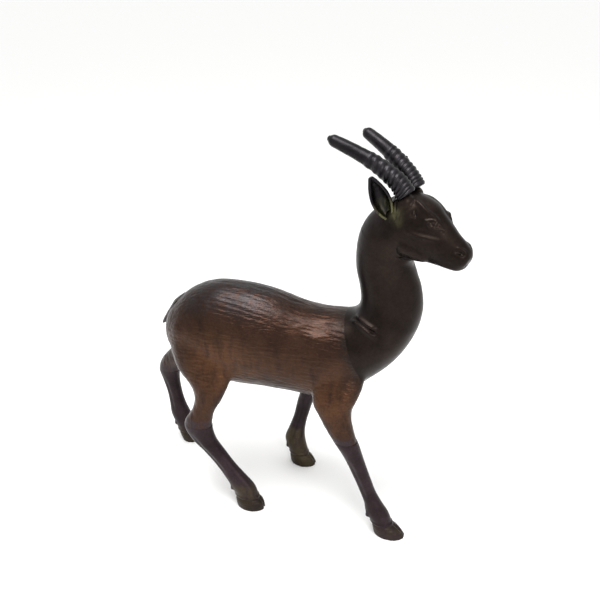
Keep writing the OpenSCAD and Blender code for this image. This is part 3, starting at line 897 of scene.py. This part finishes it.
def horn_mesh(name, path, sizes):
    """A horn on its peg: raised slanted rings over two thirds of it, then a smooth blunt tip."""
    rows = 104
    sides = 44
    # the part of the length with rings, how far they lean, and how the thickness falls to the tip
    ringed = 0.68
    slant = 0.34
    turned = 1.2
    # the peg under the horn, in mm
    peg_radius = 2.5
    peg_depth = 7
    spine = finer(path, rows // (len(path) - 1))
    last = len(spine) - 1
    base, tip = sizes.horn_base / MM, sizes.horn_tip / MM
    sections = []
    crests = []
    for i, centre in enumerate(spine):
        t = i / last
        ahead = Vector(spine[min(i + 1, last)] - spine[max(i - 1, 0)]).normalized()
        across = Vector((0, 0, 1)).cross(ahead).normalized()
        up = ahead.cross(across)
        radius = (base + (tip - base) * t**turned) / 2
        crest = math.sin(math.pi * t / ringed * sizes.horn_rings) ** 2 if t < ringed else 0
        radius += crest * sizes.horn_ring_height / MM * (1 - 0.45 * t)
        radius *= math.sqrt(1 - 0.8 * ramp(t, 0.93, 1.0))
        lean = slant * (1 - ramp(t, ringed - 0.1, ringed)) * ramp(t, 0.0, 0.06)
        if i == 0:
            for depth in (peg_depth, 0.1):
                peg_place = centre - np.array(ahead) * depth
                sections.append(section(peg_place, across * peg_radius, up * peg_radius))
                crests.append(0)
        sections.append(section(centre, across * radius, (up + ahead * lean) * radius))
        crests.append(crest)
    bm = bmesh.new()
    loft(bm, sections, sides)
    bmesh.ops.remove_doubles(bm, verts=bm.verts, dist=CUT_TOLERANCE)
    mesh = smooth_mesh(bm, name)
    points = points_of(mesh)
    lift = 0.1 * waves(points, (3, 3, 3), 5.5) + 0.1 * waves(points, (9, 1.2, 1.2), 1.5)
    sculpt(mesh, lift)
    paint(mesh, "crest", 0.9 * np.repeat(crests, sides)[:len(points)])
    return mesh


def ear_mesh(name, root, grows, faces, sizes):
    """A cupped leaf: a curled sheet given its thickness, narrow at the root and pointed at the tip."""
    rows = 27
    columns = 15
    # the width along the ear follows this part of half a sine wave
    wave_start = 0.07
    wave_end = 0.9
    wave_power = 0.8
    wrap = math.radians(200)
    # how far the root of an ear is let into the head, in mm
    sunk = 3.5
    bm = bmesh.new()
    grid = bmesh.ops.create_grid(bm, x_segments=columns - 1, y_segments=rows - 1, size=1)["verts"]
    along = Vector(grows).normalized()
    wide = Vector(faces).cross(along).normalized()
    out = along.cross(wide)
    for vert in grid:
        across, t = vert.co.x, (vert.co.y + 1) / 2
        wave = wave_start + (wave_end - wave_start) * t
        radius = sizes.ear_width / MM / 2 * math.sin(math.pi * wave**wave_power)
        angle = math.radians(270) + wrap / 2 * across
        # the rim curls a little inwards and the leaf bends forward at its tip
        radius *= 1 - 0.1 * abs(across) ** 3
        reach = sizes.ear_length / MM * t - sunk * (1 - t)
        middle = Vector(root) + along * reach - out * radius * 0.2
        place = middle + (wide * math.cos(angle) + out * math.sin(angle)) * radius
        vert.co = Vector(placed(place)) * MM
    bmesh.ops.recalc_face_normals(bm, faces=bm.faces)
    bmesh.ops.solidify(bm, geom=bm.verts[:] + bm.edges[:] + bm.faces[:], thickness=sizes.ear_leaf)
    bmesh.ops.subdivide_edges(bm, edges=bm.edges, cuts=2, use_grid_fill=True)
    for _ in range(4):
        bmesh.ops.smooth_vert(
            bm, verts=bm.verts, factor=0.5, use_axis_x=True, use_axis_y=True, use_axis_z=True
        )
    mesh = smooth_mesh(bm, name)
    points = points_of(mesh)
    reach = (points - np.array(root)) @ np.array(along)
    sculpt(mesh, 0.14 * waves(points, (2.2, 2.2, 9), 4.4))
    cup = ramp((points - np.array(root)) @ np.array(out), -6.5, -2)
    paint(mesh, "verdigris", ramp(reach, 13, 3) * (0.35 + 0.65 * cup))
    return mesh


def tail_parts(bm):
    loft(bm, [station_section(row) for row in finer(TAIL_PATH, 6)], 40)


# ---- shanks and hooves ----


def leg_parts(bm):
    """The four legs below the body."""
    for path in LEG_PATHS.values():
        stations = [row for row in finer(path, 5) if row[2] < LEG_ROOT_HEIGHT]
        loft(bm, [station_section(row) for row in stations], 40)
        # dewclaws behind the fetlock
        x, y, z, half_width, half_depth, _, _ = at_height(path, DEWCLAW_HEIGHT)
        for side in SIDES:
            top = (x - 0.7 * half_depth, y + 0.42 * half_width * side, z + 2)
            claw = (x - 0.76 * half_depth, y + 0.46 * half_width * side, z - 1.5)
            muscle(bm, top, 2.2, claw, 1.9)


def leg_relief(points):
    """Knee caps, tendons, the band over the hoof and the cleft between the toes."""
    lift = 0.12 * waves(points, (7, 7, 10), 6.1)
    for path in LEG_PATHS.values():
        for side in SIDES:
            tendon = []
            for height in (66, 54, 42, 32):
                x, y, z, half_width, half_depth, _, _ = at_height(path, height)
                tendon.append((x - 0.35 * half_depth, y + 0.95 * half_width * side, z))
            lift += ridge(points, tendon, 1.7, -0.55)
        x, y, z, half_width, half_depth, _, _ = at_height(path, KNEE - 4)
        lift += 0.5 * spot(points, (x + half_depth, y, z), 6)
        x, y, z, half_width, half_depth, _, _ = at_height(path, CORONET + 0.6)
        round_hoof = np.hypot(points[:, 0] - x, points[:, 1] - y) < 2 * half_depth
        rim = np.exp(-(((points[:, 2] - z) / 0.9) ** 2))
        groove = np.exp(-(((points[:, 2] - z + 2) / 0.8) ** 2))
        lift += 0.45 * (rim - 0.8 * groove) * round_hoof
        toe = at_height(path, 0.5)
        top = at_height(path, CORONET - 1.5)
        front = toe[0] + toe[4]
        cleft = [
            (top[0] + top[4], top[1], top[2]), (front, toe[1], 3.5), (front, toe[1], 0),
            (toe[0], toe[1], 0),
        ]
        lift += ridge(points, cleft, 0.9, -1.5)
        # growth rings of the hoof, 2.1 mm apart
        on_hoof = (points[:, 2] < CORONET - 1) * round_hoof
        lift += 0.09 * np.sin(points[:, 2] * 2 * math.pi / 2.1) * on_hoof
    return lift


def paint_leg(mesh, name):
    """Where a shank and hoof are thinned from plum to olive."""
    points = points_of(mesh)
    z = points[:, 2]
    edge = 1.5 * waves(points, (5, 5, 5), 8.8)
    # height under which a foot is thinned to olive, and how far
    olive = {
        "left_fore": (38, 1.0), "right_hind": (24, 0.75),
        "right_fore": (8, 0.2), "left_hind": (16, 0.6),
    }
    height, strength = olive[name]
    paint(mesh, "olive", strength * ramp(z + edge, height + 3, height - 3))
    paint(mesh, "plum", np.full(len(points), 1 - strength))


# ---- the add-on ----


class STATUETTE_OT_body(bpy.types.Operator):
    """Cast the torso with its chased hair, and the smooth neck"""

    bl_idname = "statuette.body"
    bl_label = "Torso and neck"

    def execute(self, context):
        sizes, colours = context.scene.statuette_sizes, context.scene.statuette_colours
        skin = even_skin("body skin", body_parts, sizes.body_cell / MM, 5)
        points = points_of(skin)
        # the corners between legs, body and neck are rounded, the legs and upper neck are left
        relax(skin, 0.5 * ramp(points[:, 2], 84, 104) * ramp(points[:, 2], 205, 170), 34)
        sculpt(skin, body_relief(points_of(skin), sizes.hair_depth / MM))
        neck_way = directions(NECK_JOINT)[2]
        head_way = directions(HEAD_JOINT)[2]
        torso_planes = (
            (NECK_JOINT, -neck_way, everywhere),
            ((0, 0, KNEE), (0, 0, 1), fore_leg),
            ((0, 0, HOCK), (0, 0, 1), hind_leg),
        )
        points = points_of(skin)
        torso = casting(skin, "torso casting", points[:, 2] > HOCK - JOINT_SPARE, torso_planes)
        paint_body(torso)
        add_piece("torso_casting", torso, chased_bronze(colours), "torso")

        neck_planes = ((NECK_JOINT, neck_way, everywhere), (HEAD_JOINT, -head_way, everywhere))
        neck = casting(skin, "neck casting", beyond(points, NECK_JOINT), neck_planes)
        paint_neck(neck)
        add_piece("neck_casting", neck, smooth_bronze(colours), "neck")
        bpy.data.meshes.remove(skin)
        return {"FINISHED"}


class STATUETTE_OT_head(bpy.types.Operator):
    """Cast the head with its eyes, brows, nostrils and mouth"""

    bl_idname = "statuette.head"
    bl_label = "Head"

    def execute(self, context):
        sizes, colours = context.scene.statuette_sizes, context.scene.statuette_colours
        skin = even_skin("head skin", head_parts, sizes.head_cell / MM, 10)
        relax(skin, np.full(len(skin.vertices), 0.5), 12)
        sculpt(skin, head_relief(points_of(skin)))
        relax(skin, np.full(len(skin.vertices), 0.3), 1)
        planes = ((HEAD_JOINT, directions(HEAD_JOINT)[2], everywhere),)
        head = casting(skin, "head casting", beyond(points_of(skin), HEAD_JOINT), planes)
        paint_head(head)
        add_piece("head_casting", head, smooth_bronze(colours), "head")
        bpy.data.meshes.remove(skin)
        return {"FINISHED"}


class STATUETTE_OT_horns(bpy.types.Operator):
    """Cast the two ringed horns"""

    bl_idname = "statuette.horns"
    bl_label = "Horns"

    def execute(self, context):
        sizes, colours = context.scene.statuette_sizes, context.scene.statuette_colours
        material = black_bronze(colours)
        for side, path in HORN_PATHS.items():
            mesh = horn_mesh(f"horn {side}", path, sizes)
            add_piece(f"horn_{side}_casting", mesh, material, f"horn_{side}")
        return {"FINISHED"}


class STATUETTE_OT_ears(bpy.types.Operator):
    """Cast the two cupped ears"""

    bl_idname = "statuette.ears"
    bl_label = "Ears"

    def execute(self, context):
        sizes, colours = context.scene.statuette_sizes, context.scene.statuette_colours
        material = verdigris_bronze(colours)
        for side, (root, grows, faces) in EARS.items():
            mesh = ear_mesh(f"ear {side}", root, grows, faces, sizes)
            add_piece(f"ear_{side}_leaf", mesh, material, f"ear_{side}")
        return {"FINISHED"}


class STATUETTE_OT_tail(bpy.types.Operator):
    """Cast the tail flap"""

    bl_idname = "statuette.tail"
    bl_label = "Tail"

    def execute(self, context):
        sizes, colours = context.scene.statuette_sizes, context.scene.statuette_colours
        cell = 0.4
        skin = even_skin("tail flap", tail_parts, cell, 4)
        points = points_of(skin)
        sculpt(skin, 0.45 * waves(points, (6, 1.3, 6), 9.1) + 0.3 * sizes.hair_depth / MM)
        for face in skin.polygons:
            face.use_smooth = True
        # a blue-grey sheen painted evenly over the whole tail flap
        paint(skin, "painted_sheen", np.full(len(points), 0.8))
        paint(skin, "hair", np.full(len(points), 0.5))
        add_piece("tail_flap", skin, chased_bronze(colours), "tail")
        return {"FINISHED"}


class STATUETTE_OT_legs(bpy.types.Operator):
    """Cast the four shanks and the four cloven hooves"""

    bl_idname = "statuette.legs"
    bl_label = "Shanks and hooves"

    def execute(self, context):
        sizes, colours = context.scene.statuette_sizes, context.scene.statuette_colours
        skin = even_skin("leg skin", leg_parts, sizes.leg_cell / MM, 8)
        sculpt(skin, leg_relief(points_of(skin)))
        relax(skin, np.full(len(skin.vertices), 0.3), 1)
        points = points_of(skin)
        shank_finish, hoof_finish = plum_bronze(colours), olive_bronze(colours)
        for name, path in LEG_PATHS.items():
            side = 1 if path[-1][1] > 0 else -1
            joint = KNEE if "fore" in name else HOCK

            # a leg is what lies on its own side and near its own middle line
            ahead = at_height(path, points[:, 2])[0]
            near_leg = (points[:, 1] * side > 0) & (np.abs(points[:, 0] - ahead) < 20)
            shank_planes = (
                ((0, 0, joint), (0, 0, -1), everywhere), ((0, 0, CORONET), (0, 0, 1), everywhere),
            )
            shank = casting(skin, f"shank {name}", near_leg, shank_planes)
            paint_leg(shank, name)
            add_piece(f"shank_{name}_casting", shank, shank_finish, f"shank_{name}")
            # a hoof is cut flat where it stands
            hoof_planes = (
                ((0, 0, CORONET), (0, 0, -1), everywhere), ((0, 0, 0), (0, 0, 1), everywhere),
            )
            hoof = casting(skin, f"hoof {name}", near_leg, hoof_planes)
            paint_leg(hoof, name)
            add_piece(f"hoof_{name}_casting", hoof, hoof_finish, f"hoof_{name}")
        bpy.data.meshes.remove(skin)
        return {"FINISHED"}


class STATUETTE_OT_joints(bpy.types.Operator):
    """Give the dowels and bands inside the joints their bare metal"""

    bl_idname = "statuette.joints"
    bl_label = "Joint pieces"

    def execute(self, context):
        material = raw_bronze(context.scene.statuette_colours)
        for node in ("leg_dowels", "neck_band", "head_band"):
            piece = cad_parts[node]
            piece.data.materials.clear()
            piece.data.materials.append(material)
        return {"FINISHED"}


class STATUETTE_OT_stage(bpy.types.Operator):
    """Set up the pale floor, the soft lights and the camera"""

    bl_idname = "statuette.stage"
    bl_label = "Studio"

    def execute(self, context):
        scene = context.scene
        # in metres
        floor_radius = 14
        bm = bmesh.new()
        bmesh.ops.create_circle(bm, cap_ends=True, segments=96, radius=floor_radius)
        floor_mesh = smooth_mesh(bm, "floor")
        floor = bpy.data.objects.new("floor", floor_mesh)
        scene.collection.objects.link(floor)
        paper = bpy.data.materials.new("Pale studio paper")
        paper.use_nodes = True
        shader = paper.node_tree.nodes["Principled BSDF"]
        shader.inputs["Base Color"].default_value = scene.statuette_colours.floor
        shader.inputs["Roughness"].default_value = 0.9
        floor_mesh.materials.append(paper)

        world = bpy.data.worlds.new("Soft white room")
        world.use_nodes = True
        sky = world.node_tree.nodes["Background"]
        sky.inputs["Color"].default_value = (1, 1, 1, 1)
        sky.inputs["Strength"].default_value = 1.0
        scene.world = world

        # each light: name, place and size in metres, power in watts
        lights = (
            ("overhead softbox", (-0.1, -0.12, 0.85), 0.34, 4.6),
            ("front softbox", (0.7, -0.8, 0.7), 0.5, 5.0),
        )
        for name, place, size, power in lights:
            lamp = bpy.data.lights.new(name, "AREA")
            lamp.size = size
            lamp.energy = power
            light = bpy.data.objects.new(name, lamp)
            light.location = place
            aim = Vector((0, 0, 0.15)) - Vector(place)
            light.rotation_euler = aim.to_track_quat("-Z", "Y").to_euler()
            scene.collection.objects.link(light)

        lens = bpy.data.cameras.new("camera")
        lens.lens = 42
        lens.sensor_width = 36
        camera = bpy.data.objects.new("camera", lens)
        camera.location = (0.132, -0.42605, 0.4117)
        aim = Vector((-0.014, 0.08315, 0.13)) - camera.location
        camera.rotation_euler = aim.to_track_quat("-Z", "Y").to_euler()
        scene.collection.objects.link(camera)
        scene.camera = camera
        scene.view_settings.view_transform = "Standard"
        return {"FINISHED"}


class STATUETTE_PT_panel(bpy.types.Panel):
    bl_label = "Antelope statuette"
    bl_space_type = "VIEW_3D"
    bl_region_type = "UI"
    bl_category = "Statuette"

    def draw(self, context):
        layout = self.layout
        for operator in OPERATORS:
            layout.operator(operator.bl_idname)
        for group in (context.scene.statuette_sizes, context.scene.statuette_colours):
            box = layout.box()
            for name in group.bl_rna.properties.keys():
                if name not in ("rna_type", "name"):
                    box.prop(group, name)


OPERATORS = (
    STATUETTE_OT_stage,
    STATUETTE_OT_body,
    STATUETTE_OT_head,
    STATUETTE_OT_horns,
    STATUETTE_OT_ears,
    STATUETTE_OT_tail,
    STATUETTE_OT_legs,
    STATUETTE_OT_joints,
)
CLASSES = (StatuetteSizes, StatuetteColours) + OPERATORS + (STATUETTE_PT_panel,)


def register():
    for cls in CLASSES:
        bpy.utils.register_class(cls)
    bpy.types.Scene.statuette_sizes = PointerProperty(type=StatuetteSizes)
    bpy.types.Scene.statuette_colours = PointerProperty(type=StatuetteColours)


def unregister():
    del bpy.types.Scene.statuette_colours
    del bpy.types.Scene.statuette_sizes
    for cls in reversed(CLASSES):
        bpy.utils.unregister_class(cls)


def main():
    """Builds everything."""
    register()
    for operator in OPERATORS:
        group, name = operator.bl_idname.split(".")
        getattr(getattr(bpy.ops, group), name)()


if __name__ == "__main__":
    main()
